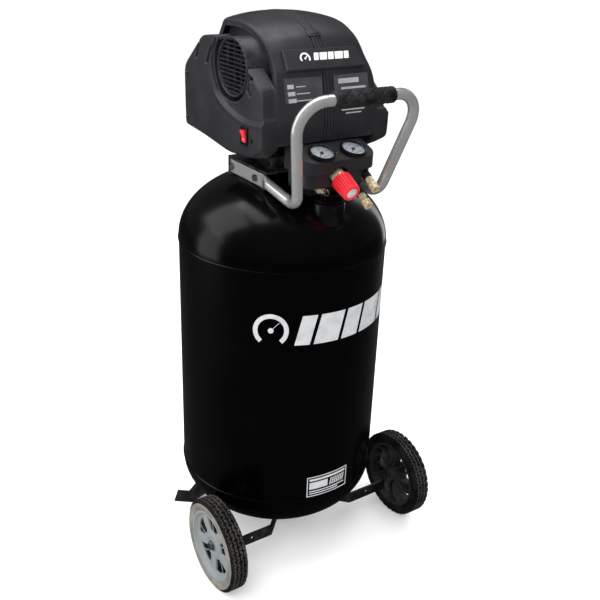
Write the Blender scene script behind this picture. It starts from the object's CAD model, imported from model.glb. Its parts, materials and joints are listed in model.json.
import json
from math import copysign, cos, hypot, pi, radians, sin, sqrt

import bmesh
import bpy
from mathutils import Matrix, Vector


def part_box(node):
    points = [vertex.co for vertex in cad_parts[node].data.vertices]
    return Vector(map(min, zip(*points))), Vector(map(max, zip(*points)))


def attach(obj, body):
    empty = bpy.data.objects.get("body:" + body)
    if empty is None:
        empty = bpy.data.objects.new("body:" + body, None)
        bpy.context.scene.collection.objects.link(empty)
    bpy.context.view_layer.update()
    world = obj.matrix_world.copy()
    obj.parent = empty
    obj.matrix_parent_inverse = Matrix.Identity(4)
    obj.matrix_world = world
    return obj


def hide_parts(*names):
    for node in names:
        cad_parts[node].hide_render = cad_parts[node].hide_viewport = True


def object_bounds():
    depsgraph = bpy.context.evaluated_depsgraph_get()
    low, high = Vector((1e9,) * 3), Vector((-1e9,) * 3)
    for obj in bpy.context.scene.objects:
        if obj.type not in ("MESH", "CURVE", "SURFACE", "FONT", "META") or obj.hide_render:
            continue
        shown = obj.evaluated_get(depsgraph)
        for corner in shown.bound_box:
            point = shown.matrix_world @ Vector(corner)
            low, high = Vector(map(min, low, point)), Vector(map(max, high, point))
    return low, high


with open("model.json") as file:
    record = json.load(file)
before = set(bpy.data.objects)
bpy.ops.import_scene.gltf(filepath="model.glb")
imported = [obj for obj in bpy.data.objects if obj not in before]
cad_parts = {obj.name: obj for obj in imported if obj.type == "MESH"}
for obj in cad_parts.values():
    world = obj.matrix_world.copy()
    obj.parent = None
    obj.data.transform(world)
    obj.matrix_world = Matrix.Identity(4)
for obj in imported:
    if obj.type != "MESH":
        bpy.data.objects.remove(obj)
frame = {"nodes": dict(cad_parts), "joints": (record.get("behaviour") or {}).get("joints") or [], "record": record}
cad_low, cad_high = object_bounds()

# The looks of a vertical tank compressor. Metres, +Z up, front towards -Y.
JOINTS = {joint["name"]: joint for joint in frame["joints"]}
MOUNTS = {mount["name"]: mount for mount in frame["record"]["mounts"]}
SIDES = {"left": -1, "right": 1}
QUARTERS = ((-1, -1), (1, -1), (1, 1), (-1, 1))
UP = Vector((0, 0, 1))
RIGHT = Vector((1, 0, 0))
BACK = Vector((0, 1, 0))


def add_object(name, data):
    item = bpy.data.objects.new(name, data)
    bpy.context.scene.collection.objects.link(item)
    return item


# ---------------------------------------------------------------- materials
class Surface:
    """One procedural material, with short ways to add nodes to it.

    Colours are screen values from 0 to 255.
    """

    def __init__(self, name, colour, roughness, metallic=0.0, coat=0.0, specular=0.5):
        self.material = bpy.data.materials.new(name)
        self.material.use_nodes = True
        self.nodes = self.material.node_tree.nodes
        self.links = self.material.node_tree.links
        self.shader = self.nodes["Principled BSDF"]
        self.place = self.nodes.new("ShaderNodeTexCoord").outputs["Object"]
        self.colour = self.value_of(colour)
        self.rough = roughness
        self.set_input("Metallic", metallic)
        self.set_input("Specular IOR Level", specular)
        self.set_input("Coat Weight", coat)
        self.set_input("Coat Roughness", 0.06)
        self.normal = None

    def set_input(self, name, value):
        self.shader.inputs[name].default_value = value

    def add(self, kind, feeds, settings=()):
        """Adds a node with (input, source) feeds and (input, value) settings."""
        node = self.nodes.new(kind)
        for label, source in feeds:
            self.links.new(source, node.inputs[label])
        for label, value in settings:
            node.inputs[label].default_value = value
        return node

    def value_of(self, colour):
        node = self.nodes.new("ShaderNodeRGB")
        node.outputs[0].default_value = [(part / 255) ** 2.2 for part in colour] + [1.0]
        return node.outputs[0]

    def texture(self, kind, scale, stretch=(1, 1, 1)):
        """A texture node with so many features per metre."""
        mapping = self.add("ShaderNodeMapping", [("Vector", self.place)], [("Scale", stretch)])
        return self.add(kind, [("Vector", mapping.outputs["Vector"])], [("Scale", scale)])

    def noise(self, scale, detail=3.0, stretch=(1, 1, 1)):
        """Soft noise from 0 to 1."""
        node = self.texture("ShaderNodeTexNoise", scale, stretch)
        node.inputs["Detail"].default_value = detail
        return node.outputs["Fac"]

    def cells(self, scale):
        """Distance to the nearest of many scattered points, for leathery or sparkling grain."""
        return self.texture("ShaderNodeTexVoronoi", scale).outputs["Distance"]

    def spread(self, value, start, end, low=0.0, high=1.0):
        """Maps start..end of a value to low..high, held at the ends."""
        ends = (("From Min", start), ("From Max", end), ("To Min", low), ("To Max", high))
        return self.add("ShaderNodeMapRange", [("Value", value)], ends).outputs["Result"]

    def product(self, first, second):
        node = self.add("ShaderNodeMath", [(0, first), (1, second)])
        node.operation = "MULTIPLY"
        return node.outputs[0]

    def tint(self, colour, factor):
        """Lays a second colour over the first where the factor is high."""
        node = self.nodes.new("ShaderNodeMix")
        node.data_type = "RGBA"
        self.links.new(factor, node.inputs["Factor"])
        self.links.new(self.colour, node.inputs["A"])
        self.links.new(self.value_of(colour), node.inputs["B"])
        self.colour = node.outputs["Result"]

    def mottle(self, colour, scale=22.0, start=0.4, end=0.7, amount=1.0):
        self.tint(colour, self.spread(self.noise(scale), start, end, 0.0, amount))

    def wear(self, colour, amount=0.7, start=0.515, end=0.56):
        """Lighter edges, broken up by noise."""
        edge = self.nodes.new("ShaderNodeNewGeometry").outputs["Pointiness"]
        patch = self.spread(self.noise(60.0), 0.35, 0.65, 0.0, amount)
        self.tint(colour, self.product(self.spread(edge, start, end), patch))

    def dust(self, colour, amount=0.2):
        """A thin pale film on faces that look up."""
        facing = self.nodes.new("ShaderNodeNewGeometry").outputs["Normal"]
        split = self.add("ShaderNodeSeparateXYZ", [("Vector", facing)])
        patch = self.spread(self.noise(14.0), 0.3, 0.75, 0.0, amount)
        self.tint(colour, self.product(self.spread(split.outputs["Z"], 0.2, 1.0), patch))

    def relief(self, height, depth):
        """Adds bump of a depth in metres."""
        node = self.add("ShaderNodeBump", [("Height", height)], [("Strength", 1.0), ("Distance", depth)])
        if self.normal is not None:
            self.links.new(self.normal, node.inputs["Normal"])
        self.normal = node.outputs["Normal"]

    def done(self, rough_change=0.08, rough_scale=30.0):
        """Joins colour, roughness and bump to the shader and gives the material."""
        low = max(self.rough - rough_change, 0.02)
        patches = self.spread(self.noise(rough_scale), 0.3, 0.7, low, self.rough + rough_change)
        self.links.new(self.colour, self.shader.inputs["Base Color"])
        self.links.new(patches, self.shader.inputs["Roughness"])
        if self.normal is not None:
            self.links.new(self.normal, self.shader.inputs["Normal"])
        return self.material


def moulded_plastic(name, colour, light, roughness, grain=0.00006, wear=0.5):
    """Grained injection-moulded plastic with paler edges and a little dust."""
    surface = Surface(name, colour, roughness)
    surface.mottle(light, 9.0, 0.4, 0.85, 0.35)
    surface.wear(light, wear)
    surface.dust(light, 0.3)
    surface.relief(surface.cells(650.0), grain)
    surface.relief(surface.noise(35.0, 2.0), 0.0002)
    return surface.done()


def tank_enamel():
    """Deep gloss black enamel with a faint orange peel and settled dust."""
    surface = Surface("tank_enamel", (4, 4, 5), 0.2, specular=0.32)
    surface.mottle((8, 8, 9), 5.0)
    surface.dust((52, 52, 56), 0.08)
    surface.relief(surface.noise(160.0, 1.0), 0.00006)
    return surface.done(0.05, 12.0)


def painted_steel(name, colour, light):
    surface = Surface(name, colour, 0.34, coat=0.15)
    surface.mottle(light, 18.0)
    surface.wear((120, 116, 110), 0.35, 0.53, 0.6)
    surface.dust(light, 0.3)
    surface.relief(surface.noise(240.0, 2.0), 0.0001)
    return surface.done()


def brushed_metal(name, colour, dark, roughness, stretch=(1, 1, 1), scale=400.0, metallic=1.0, edge=0.0):
    """Bare metal with fine drawn lines, slight staining and, where wanted, darker sides."""
    surface = Surface(name, colour, roughness, metallic=metallic)
    surface.tint(dark, surface.spread(surface.noise(scale, 4.0, stretch), 0.35, 0.75, 0.0, 0.25))
    surface.mottle(dark, 12.0, 0.5, 0.9, 0.4)
    if edge:
        weight = surface.add("ShaderNodeLayerWeight", [], [("Blend", 0.5)])
        surface.tint((58, 58, 58), surface.spread(weight.outputs["Facing"], 0.45, 0.95, 0.0, edge))
    return surface.done(0.02, 8.0)


def plated(name, colour, dark, roughness, metallic=1.0, stain=0.6):
    """Plated fasteners and fittings, with crystalline patches and worn edges."""
    surface = Surface(name, colour, roughness, metallic=metallic)
    surface.tint(dark, surface.spread(surface.cells(260.0), 0.15, 0.6, 0.0, stain))
    surface.wear((235, 232, 225), 0.5)
    surface.relief(surface.noise(200.0, 2.0), 0.000002)
    return surface.done(0.06, 60.0)


def rubber(name, colour, light, roughness):
    surface = Surface(name, colour, roughness, specular=0.35)
    surface.mottle(light, 30.0)
    surface.wear(light, 0.6)
    surface.relief(surface.noise(700.0, 3.0), 0.00012)
    return surface.done()


def cast_metal(name, colour, dark):
    """Die-cast aluminium with a pebbled skin."""
    surface = Surface(name, colour, 0.45, metallic=0.9)
    surface.mottle(dark, 40.0)
    surface.relief(surface.cells(420.0), 0.00015)
    return surface.done(0.12)


def clear_lens():
    surface = Surface("gauge_lens", (250, 252, 255), 0.04)
    surface.set_input("Transmission Weight", 1.0)
    surface.set_input("IOR", 1.2)
    surface.relief(surface.noise(60.0, 1.0), 0.00002)
    return surface.done(0.02)


def printed(name, colour, light, roughness=0.4):
    """Printed film: an even colour with slight fading and fine print grain."""
    surface = Surface(name, colour, roughness)
    surface.mottle(light, 45.0, 0.4, 0.8)
    surface.relief(surface.noise(900.0, 2.0), 0.00002)
    return surface.done()


COVER_PLASTIC = moulded_plastic("cover_plastic", (35, 35, 38), (62, 62, 65), 0.42)
SLOT_MATERIALS = {
    "tank_paint": tank_enamel(),
    "cover_plastic": COVER_PLASTIC,
    "badge_plastic": COVER_PLASTIC,
    "bezel_plastic": moulded_plastic("bezel_plastic", (14, 14, 16), (34, 34, 38), 0.26, 0.00002, 0.3),
    "hub_plastic": moulded_plastic("hub_plastic", (116, 121, 122), (146, 150, 150), 0.5, 0.00004, 0.4),
    "fan_plastic": moulded_plastic("fan_plastic", (30, 30, 34), (60, 60, 64), 0.5),
    "red_plastic": moulded_plastic("red_plastic", (205, 22, 40), (232, 62, 74), 0.3, 0.00002, 0.5),
    "black_steel": painted_steel("black_steel", (16, 16, 17), (34, 34, 36)),
    "tyre": rubber("tyre_rubber", (20, 20, 21), (36, 35, 35), 0.7),
    "grip_rubber": rubber("grip_rubber", (22, 22, 24), (48, 48, 50), 0.5),
    "seal": rubber("seal_rubber", (24, 24, 26), (44, 44, 46), 0.45),
    "cord_rubber": rubber("cord_rubber", (20, 20, 21), (40, 40, 42), 0.42),
    "handle_metal": brushed_metal(
        "handle_metal", (232, 232, 230), (200, 199, 196), 0.26, scale=90.0, metallic=0.8, edge=0.8),
    "lamination": brushed_metal("lamination", (120, 118, 116), (70, 68, 66), 0.4, (40, 1, 1), 60.0),
    "can_metal": brushed_metal("can_metal", (180, 180, 182), (130, 130, 134), 0.28),
    "zinc": plated("zinc", (190, 190, 188), (120, 120, 122), 0.34),
    "dark_zinc": plated("dark_zinc", (74, 73, 72), (40, 40, 41), 0.38),
    "chrome": plated("chrome", (226, 226, 228), (170, 170, 174), 0.14),
    "brass": plated("brass", (232, 216, 176), (186, 160, 114), 0.26, 0.6, 0.35),
    "pump_casting": cast_metal("pump_casting", (150, 150, 148), (110, 110, 110)),
    "pump_casting_dark": cast_metal("pump_casting_dark", (70, 70, 72), (48, 48, 50)),
    "dial_white": printed("dial_white", (236, 240, 246), (244, 247, 251)),
    "knob_cap": printed("knob_cap", (190, 188, 186), (168, 166, 166), 0.35),
    "needle": printed("needle", (18, 18, 20), (32, 32, 34), 0.35),
    "lens": clear_lens(),
}
HUB_CORE = moulded_plastic("hub_core", (38, 38, 40), (72, 72, 75), 0.4, 0.00004, 0.6)
TREAD_TOP = rubber("tread_top", (46, 44, 43), (72, 68, 65), 0.66)
SIDEWALL = rubber("tyre_sidewall", (98, 96, 90), (124, 121, 113), 0.6)
GLOSS_RUBBER = rubber("gloss_rubber", (10, 10, 11), (20, 20, 22), 0.2)
PRINT_WHITE = printed("print_white", (226, 227, 228), (208, 209, 211))
PRINT_BLACK = printed("print_black", (22, 22, 24), (36, 36, 40))
PRINT_GREY = printed("print_grey", (150, 151, 153), (132, 133, 136))
PRINT_SILVER = printed("print_silver", (182, 184, 186), (158, 160, 164), 0.32)
LABEL_FILM = printed("label_film", (58, 58, 61), (68, 68, 71), 0.36)


def dress_cad_nodes():
    """Gives every carried-over CAD node its procedural material and softens its hard edges."""
    slots = {subpart["node"]: subpart["material_slot"] for subpart in frame["record"]["subparts"]}
    for name, node in frame["nodes"].items():
        for index in range(len(node.data.materials)):
            node.data.materials[index] = SLOT_MATERIALS[slots[name]]
        weld = node.modifiers.new("weld", "WELD")
        weld.merge_threshold = 0.00001
        flat = node.modifiers.new("flat", "DECIMATE")
        flat.decimate_type = "DISSOLVE"
        flat.angle_limit = radians(1.0)
        soften = node.modifiers.new("soften", "BEVEL")
        soften.width = 0.0006
        soften.segments = 2
        soften.limit_method = "ANGLE"
        soften.angle_limit = radians(40)
        soften.harden_normals = True


# ---------------------------------------------------------------- stage, light and camera
FLOOR_HALF = 40.0


def backdrop():
    """A wide pale floor that looks dark in reflections, so that the glossy tank stays black."""
    bm = bmesh.new()
    bm.faces.new([bm.verts.new((x * FLOOR_HALF, y * FLOOR_HALF, 0)) for x, y in QUARTERS])
    mesh = bpy.data.meshes.new("floor")
    bm.to_mesh(mesh)
    bm.free()
    surface = Surface("floor_paper", (244, 244, 244), 0.7, specular=0.2)
    surface.mottle((241, 241, 241), 3.0)
    path = surface.nodes.new("ShaderNodeLightPath")
    surface.tint((48, 48, 50), path.outputs["Is Glossy Ray"])
    seen = surface.spread(path.outputs["Is Camera Ray"], 0.0, 1.0, 0.0, 0.12)
    surface.links.new(seen, surface.shader.inputs["Emission Strength"])
    surface.set_input("Emission Color", (1.0, 1.0, 1.0, 1.0))
    mesh.materials.append(surface.done(0.05, 5.0))
    add_object("floor", mesh)


def surround():
    """An even pale world, far dimmer in reflections."""
    world = bpy.data.worlds.new("surround")
    world.use_nodes = True
    bpy.context.scene.world = world
    nodes = world.node_tree.nodes
    links = world.node_tree.links
    background = nodes["Background"]
    path = nodes.new("ShaderNodeLightPath")
    mix = nodes.new("ShaderNodeMix")
    mix.inputs["A"].default_value = 1.1
    mix.inputs["B"].default_value = 0.07
    links.new(path.outputs["Is Glossy Ray"], mix.inputs["Factor"])
    background.inputs["Color"].default_value = (1.0, 1.0, 1.0, 1.0)
    links.new(mix.outputs["Result"], background.inputs["Strength"])


def lamps():
    """Soft lamps: broad fills that reflections don't show, and edges that they do."""
    centre = (cad_low + cad_high) / 2
    head = 0.2 * UP
    for name, place, aim, width, height, power, mirrored in (
        ("key", (-1.6, -1.5, 2.0), head, 1.6, 1.6, 38, False),
        ("left_fill", (-2.2, 0.5, 0.3), 0 * UP, 0.5, 2.2, 22, False),
        ("right_fill", (2.0, 0.6, 0.3), 0 * UP, 0.5, 2.2, 26, False),
        ("left_edge", (-2.3, 1.1, 0.2), 0 * UP, 1.3, 2.4, 12, True),
        ("left_high", (-1.5, 1.1, 1.9), head, 1.7, 1.7, 16, True),
        ("right_edge", (2.3, 0.9, 0.3), 0 * UP, 0.5, 2.2, 5, True),
        ("overhead", (0.1, 0.3, 2.4), 0 * UP, 2.2, 1.6, 26, True),
    ):
        data = bpy.data.lights.new(name, "AREA")
        data.shape = "RECTANGLE"
        data.size = width
        data.size_y = height
        data.energy = power
        lamp = add_object(name, data)
        lamp.location = centre + Vector(place)
        lamp.visible_glossy = mirrored
        lamp.rotation_mode = "QUATERNION"
        lamp.rotation_quaternion = (aim - Vector(place)).to_track_quat("-Z", "Y")


VIEW_TURN = radians(-34.724)
VIEW_RISE = radians(24.634)
VIEW_ROLL = radians(2.237)
VIEW_DISTANCE = 1.9195
VIEW_LENS = 50.36
VIEW_AIM = Vector((0.0362, -0.0051, -0.0235))


def camera():
    """Looks down on the object from its front left."""
    level = Vector((cos(VIEW_TURN), sin(VIEW_TURN), 0))
    back = cos(VIEW_RISE) * level.cross(UP) + sin(VIEW_RISE) * UP
    right = cos(VIEW_ROLL) * level + sin(VIEW_ROLL) * back.cross(level)
    data = bpy.data.cameras.new("camera")
    data.lens = VIEW_LENS
    data.sensor_width = 36
    lens = add_object("camera", data)
    place = (cad_low + cad_high) / 2 + VIEW_AIM + back * VIEW_DISTANCE
    turn = Matrix((right, back.cross(right), back)).transposed().to_4x4()
    lens.matrix_world = Matrix.Translation(place) @ turn
    bpy.context.scene.camera = lens


# ---------------------------------------------------------------- mesh helpers
def axis_frame(origin, direction, side=RIGHT):
    """Matrix whose Z runs along a direction and whose X is as near to a side as it can be."""
    z = Vector(direction).normalized()
    x = (side - z * z.dot(side)).normalized()
    return Matrix.Translation(origin) @ Matrix((x, z.cross(x), z)).transposed().to_4x4()


def joint_frame(name, sign=1):
    """Placing matrix at a joint, with Z along its axis (or against it) and X to the right."""
    return axis_frame(JOINTS[name]["pos_m"], Vector(JOINTS[name]["axis"]) * sign)


def rounding(start, corner, end, steps):
    """Points along the short curve that takes the place of a corner."""
    shares = [step / steps for step in range(steps + 1)]
    return [start * (1 - t) ** 2 + corner * 2 * t * (1 - t) + end * t**2 for t in shares]


def eased(points, cut=1.0, fraction=0.45, steps=4, closed=True):
    """A 2-D outline whose corners become short curves, cut back by a length and at most a fraction."""
    result = []
    count = len(points)
    for index, point in enumerate(points):
        corner = Vector(point[:2])
        reach = point[2] if len(point) > 2 else cut
        if not closed and index in (0, count - 1):
            result.append(corner)
            continue
        before = Vector(points[index - 1][:2]) - corner
        after = Vector(points[(index + 1) % count][:2]) - corner
        start = corner + before * min(fraction, reach / before.length)
        end = corner + after * min(fraction, reach / after.length)
        result += rounding(start, corner, end, steps)
    return result


def polar(radius, turn, height=0.0):
    return Vector((radius * cos(turn), radius * sin(turn), height))


def ring(radius, count, height=0.0):
    return [polar(radius, 2 * pi * step / count, height) for step in range(count)]


def arc(radius, start, end, steps, centre=(0, 0)):
    """2-D points on a circle from one angle to another, in degrees."""
    turns = [radians(start + (end - start) * step / steps) for step in range(steps + 1)]
    return [Vector(centre) + polar(radius, turn).xy for turn in turns]


def skin(bm, loops, close=False, material=0):
    """Joins loops of equal length with faces, then joins the last to the first or fills both ends."""
    rows = [[bm.verts.new(point) for point in loop] for loop in loops]
    pairs = list(zip(rows, rows[1:]))
    if close:
        pairs.append((rows[-1], rows[0]))
    faces = []
    for first, second in pairs:
        for index in range(len(first)):
            after = (index + 1) % len(first)
            faces.append(bm.faces.new((first[index], first[after], second[after], second[index])))
    if not close:
        faces.append(bm.faces.new(rows[0][::-1]))
        faces.append(bm.faces.new(rows[-1]))
    for face in faces:
        face.material_index = material


def lathe(bm, place, profile, count=64, close=False, material=0):
    """Turns a profile of (radius, height) points about the Z axis of a placing matrix."""
    loops = [[place @ point for point in ring(radius, count, height)] for radius, height in profile]
    skin(bm, loops, close, material)


def tube(bm, path, section, side):
    """Sweeps a section, a function of the step giving (x, y) points, along a path without twisting."""
    loops = []
    for index, point in enumerate(path):
        ahead = path[min(index + 1, len(path) - 1)] - path[max(index - 1, 0)]
        place = axis_frame(point, ahead, side)
        side = place.to_3x3() @ RIGHT
        loops.append([place @ Vector((x, y, 0)) for x, y in section(index)])
    skin(bm, loops)


def applied(holder):
    """The mesh that an object makes with its settings and modifiers applied; the object is removed."""
    bpy.context.view_layer.update()
    mesh = bpy.data.meshes.new_from_object(holder.evaluated_get(bpy.context.evaluated_depsgraph_get()))
    bpy.data.objects.remove(holder)
    return mesh


def flat_plate(bm, place, outlines, low, high, edge):
    """A plate on a matrix's XY plane from closed outlines, the inner ones being holes, with rounded edges."""
    curve = bpy.data.curves.new("outline", "CURVE")
    curve.dimensions = "2D"
    curve.fill_mode = "BOTH"
    curve.extrude = (high - low) / 2 - edge
    curve.bevel_depth = edge
    curve.bevel_resolution = 2
    curve.offset = -edge
    for outline in outlines:
        spline = curve.splines.new("POLY")
        spline.points.add(len(outline) - 1)
        for target, point in zip(spline.points, outline):
            target.co = (point[0], point[1], 0, 1)
        spline.use_cyclic_u = True
    mesh = applied(add_object("outline", curve))
    part = bmesh.new()
    part.from_mesh(mesh)
    bmesh.ops.remove_doubles(part, verts=part.verts, dist=0.000002)
    part.transform(place @ Matrix.Translation((0, 0, (low + high) / 2)))
    part.to_mesh(mesh)
    part.free()
    bm.from_mesh(mesh)
    bpy.data.curves.remove(curve)
    bpy.data.meshes.remove(mesh)


def box_outline(width, height, corner):
    return eased([(x * width / 2, y * height / 2) for x, y in QUARTERS], corner)


def hexagon(across_flats):
    return ring(across_flats / sqrt(3), 6)


def strip(bm, place, start, end, width, low, high, material=0):
    """A thin straight bar on a placing matrix's XY plane, from one point to another."""
    start, end = Vector(start), Vector(end)
    along = (end - start).normalized() * width / 2
    aside = Vector((-along.y, along.x))
    corners = (start - along - aside, end + along - aside, end + along + aside, start - along + aside)
    loops = [[place @ Vector((spot.x, spot.y, height)) for spot in corners] for height in (low, high)]
    skin(bm, loops, material=material)


def polyline(bm, place, points, width, low, high):
    """Strips of a piece's second material from point to point."""
    for start, end in zip(points, points[1:]):
        strip(bm, place, start, end, width, low, high, 1)


def piece(name, bm, body, slot, replaces=(), crease=40, materials=()):
    """Makes a mesh into a finished piece that rides on a body, in its slot's own material by default.

    Faces shade smooth, with sharp edges only where they meet at more than the crease angle.
    """
    bmesh.ops.remove_doubles(bm, verts=bm.verts, dist=0.000001)
    bmesh.ops.recalc_face_normals(bm, faces=bm.faces)
    for face in bm.faces:
        face.smooth = True
    for edge in bm.edges:
        if len(edge.link_faces) == 2:
            edge.smooth = edge.calc_face_angle(0.0) < radians(crease)
    mesh = bpy.data.meshes.new(name)
    bm.to_mesh(mesh)
    bm.free()
    item = add_object(name, mesh)
    for material in materials or [SLOT_MATERIALS[slot]]:
        mesh.materials.append(material)
    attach(item, body)
    if replaces:
        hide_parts(*replaces)


SMOOTHING_PASSES = 3


def moulded(bm, voxel, shift=None):
    """Joins overlapping solids into one even skin with soft edges, after an optional shift of its points."""
    bmesh.ops.recalc_face_normals(bm, faces=bm.faces)
    rough = bpy.data.meshes.new("rough")
    bm.to_mesh(rough)
    bm.free()
    holder = add_object("rough", rough)
    even = holder.modifiers.new("even", "REMESH")
    even.mode = "VOXEL"
    even.voxel_size = voxel
    result = applied(holder)
    bm = bmesh.new()
    bm.from_mesh(result)
    bpy.data.meshes.remove(rough)
    bpy.data.meshes.remove(result)
    if shift is not None:
        bm.normal_update()
        moves = [(vert, shift(vert.co, vert.normal)) for vert in bm.verts]
        for vert, move in moves:
            vert.co += move
    for repeat in range(SMOOTHING_PASSES):
        bmesh.ops.smooth_vert(
            bm, verts=bm.verts, factor=0.5, use_axis_x=True, use_axis_y=True, use_axis_z=True)
    return bm


def step_up(value, start, end):
    """0 before start, 1 after end, smooth between."""
    t = min(max((value - start) / (end - start), 0.0), 1.0)
    return t * t * (3 - 2 * t)


def zigzag(value):
    """A triangle wave of period 1 between -1 and 1."""
    return 4 * abs(value % 1.0 - 0.5) - 1


# ---------------------------------------------------------------- tank
tank_low, tank_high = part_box("tank_shell")
BEAD_PROUD = 0.0015
BEAD_HALF = 0.003
TANK_R = (tank_high.x - tank_low.x) / 2 - BEAD_PROUD
TANK = Vector((0, (tank_low.y + tank_high.y) / 2, 0))
TOP_RISE = 0.150
LOW_DROP = 0.130
UPPER_SEAM = tank_high.z - TOP_RISE
LOWER_SEAM = tank_low.z + 0.133
SPUD_R = 0.016
SKIRT = 0.0006
LAP = 4 * BEAD_PROUD
LAP_STEP = 0.0012


def dome_point(turn, seam, rise):
    return TANK_R * cos(turn), seam + rise * sin(turn)


def tank_shell():
    """Two domed heads whose skirts lap a rolled body by a hair, over a drain spud."""
    steps = 28
    lower = [dome_point(-pi / 2 * (1 - k / steps), LOWER_SEAM, LOW_DROP) for k in range(1, steps + 1)]
    body_r = TANK_R - SKIRT
    profile = [(SPUD_R - 0.001, tank_low.z), (SPUD_R, tank_low.z + 0.001), (SPUD_R, lower[0][1] + 0.001)]
    profile += [point for point in lower if point[0] > SPUD_R + 0.002]
    profile += [(TANK_R, LOWER_SEAM + LAP), (body_r, LOWER_SEAM + LAP + LAP_STEP)]
    profile += [(body_r, LOWER_SEAM + (UPPER_SEAM - LOWER_SEAM) * k / 12) for k in range(1, 12)]
    profile += [(body_r, UPPER_SEAM - LAP - LAP_STEP), (TANK_R, UPPER_SEAM - LAP)]
    profile += [dome_point(pi / 2 * k / steps, UPPER_SEAM, TOP_RISE) for k in range(steps)]
    profile += [(0.004, UPPER_SEAM + TOP_RISE - 0.00002)]
    bm = bmesh.new()
    lathe(bm, Matrix.Translation(TANK), profile, count=224)
    piece("tank_body", bm, "tank", "tank_paint", ["tank_shell"], 24)


def wrap(x, z, lift):
    """A point over the rolled body, at a distance x around from its front middle and a height z."""
    turn = x / TANK_R
    radius = TANK_R - SKIRT + lift
    return TANK + Vector((radius * sin(turn), -radius * cos(turn), z))


RING_STEPS = 900
RING_RIPPLES = 220
RING_RIPPLE = 0.00022
LENGTH_STEPS = 420
LENGTH_TURN = radians(160)
LENGTH_RIPPLE = 0.0052


def weld_bead(name, stops, half, proud, ripple, sink, close):
    """A machine-laid bead through (x, z, ripple phase) stops, its edges sunk into the steel."""
    loops = []
    for x, z, phase in stops:
        loop = []
        for row in range(7):
            across = row / 3 - 1
            dome = 1 - across**2
            wave = ripple * sin(phase + 2.2 * across * across)
            lift = max(proud * sqrt(dome) + wave * dome, 0.0) - (0.0 if dome else sink)
            if close:
                lift += SKIRT
            loop.append(wrap(x + across * half[0], z + across * half[1], lift))
        loops.append(loop)
    bm = bmesh.new()
    skin(bm, loops, close)
    piece(name, bm, "tank", "tank_paint", crease=60)


def welds():
    """The seams where the heads meet the rolled body, and the straight one down its back."""
    proud = BEAD_PROUD - RING_RIPPLE
    for name, height in (("upper", UPPER_SEAM - 0.004), ("lower", LOWER_SEAM + 0.004)):
        turns = [2 * pi * step / RING_STEPS for step in range(RING_STEPS)]
        stops = [(TANK_R * turn, height, RING_RIPPLES * turn) for turn in turns]
        weld_bead(f"tank_weld_{name}", stops, (0, BEAD_HALF), proud, RING_RIPPLE, 0.0012, True)
    low, high = LOWER_SEAM + 0.008, UPPER_SEAM - 0.008
    heights = [low + (high - low) * step / LENGTH_STEPS for step in range(LENGTH_STEPS + 1)]
    stops = [(TANK_R * LENGTH_TURN, height, 2 * pi * height / LENGTH_RIPPLE) for height in heights]
    weld_bead("tank_length_weld", stops, (0.0026, 0), 0.0008, 0.00018, 0.001, False)


def print_film(bm, pairs):
    """A thin printed patch on the tank between pairs of (x, z) points on its two long edges."""
    film = 0.0004
    loops = []
    for low, high in pairs:
        ends = ((low, -film), (low, film), (high, film), (high, -film))
        loops.append([wrap(spot[0], spot[1], lift) for spot, lift in ends])
    skin(bm, loops)


def print_patch(bm, corners, slices=10):
    """A printed patch between slanted ends: left-low, right-low, right-high, left-high."""
    low, low_end, high_end, high = [Vector(corner) for corner in corners]
    shares = [k / slices for k in range(slices + 1)]
    print_film(bm, [(low.lerp(low_end, share), high.lerp(high_end, share)) for share in shares])


def print_bar(bm, left, right, low, high, lean=0.0, slices=10):
    print_patch(bm, [(left, low), (right, low), (right + lean, high), (left + lean, high)], slices)


MARK_Z = 0.612
MARK_HALF = 0.188
MARK_H = 0.066
MARK_BARS = (0.030, 0.052, 0.040, 0.064, 0.036)


def tank_mark():
    """A plain maker's panel with no lettering: a pressure-dial roundel and a row of slanted bars."""
    bm = bmesh.new()
    radius = MARK_H * 0.56
    x, z = -MARK_HALF + radius, MARK_Z
    for inner, outer, *span in ((radius * 0.74, radius, -50, 230, 40), (0.0004, radius * 0.16, 0, 360, 24)):
        print_film(bm, zip(arc(inner, *span, (x, z)), arc(outer, *span, (x, z))))
    reach = radius * 0.66
    print_patch(bm, [
        (x - 0.0025, z - 0.002), (x + 0.0025, z + 0.002),
        (x + reach * 0.72, z + reach * 0.74), (x + reach * 0.68, z + reach * 0.77),
    ], 4)
    lean = 0.016
    gap = 0.0085
    left = -MARK_HALF + 2 * radius + 0.012
    stretch = (MARK_HALF - left - lean - gap * (len(MARK_BARS) - 1)) / sum(MARK_BARS)
    for width in MARK_BARS:
        right = left + width * stretch
        print_bar(bm, left, right, MARK_Z - MARK_H / 2, MARK_Z + MARK_H / 2, lean)
        left = right + gap
    piece("tank_mark", bm, "tank", "tank_paint", crease=50, materials=[PRINT_SILVER])


LABEL_X = -0.0075
LABEL_W = 0.107
LABEL_LOW = 0.190
LABEL_HIGH = 0.243


def tank_label():
    """A small framed label above the lower seam, with blank bars where its print would be."""
    bm = bmesh.new()
    left, right = LABEL_X - LABEL_W / 2, LABEL_X + LABEL_W / 2
    low, high = LABEL_LOW, LABEL_HIGH
    rim = 0.0022
    text = left + 0.006
    for bar in (
        (left, right, low, low + rim), (left, right, high - rim, high),
        (left, left + rim, low, high), (right - rim, right, low, high),
        (text, right - 0.006, high - 0.0115, high - 0.0060),
        (text, left + 0.052, high - 0.0335, high - 0.0155),
        (text, right - 0.008, low + 0.0120, low + 0.0148),
        (text, right - 0.026, low + 0.0060, low + 0.0088),
    ):
        print_bar(bm, *bar)
    for stripe in range(7):
        edge = left + 0.057 + stripe * 0.006
        print_bar(bm, edge, edge + 0.0032, high - 0.0335, high - 0.0155, 0.003, 2)
    piece("tank_label", bm, "tank", "tank_paint", crease=50, materials=[PRINT_SILVER])


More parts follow.
